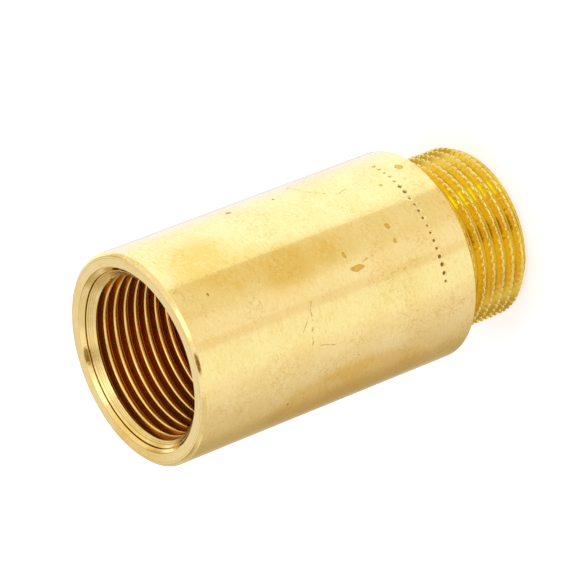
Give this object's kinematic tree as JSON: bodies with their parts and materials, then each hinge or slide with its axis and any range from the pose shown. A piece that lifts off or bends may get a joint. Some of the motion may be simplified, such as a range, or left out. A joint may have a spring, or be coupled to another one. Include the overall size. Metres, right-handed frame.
{
  "type": "pipe extension fitting",
  "caption": "Round turned brass pipe extension with an outside-threaded spigot at one end, a tapped socket at the other and a straight waterway between.",
  "frame": {"origin": "on the axis, at the flat end of the threaded spigot, which the fitting stands on", "axes": "+Z along the axis from the spigot's end to the socket's mouth; X and Y are free, because the form is turned"},
  "size_m": [0.032, 0.032, 0.062],
  "materials": {
    "turned_brass": "fine turned, bright, with light tarnish spots"
  },
  "bodies": {
    "root": {"extension_body": "turned_brass"}
  },
  "joints": []
}
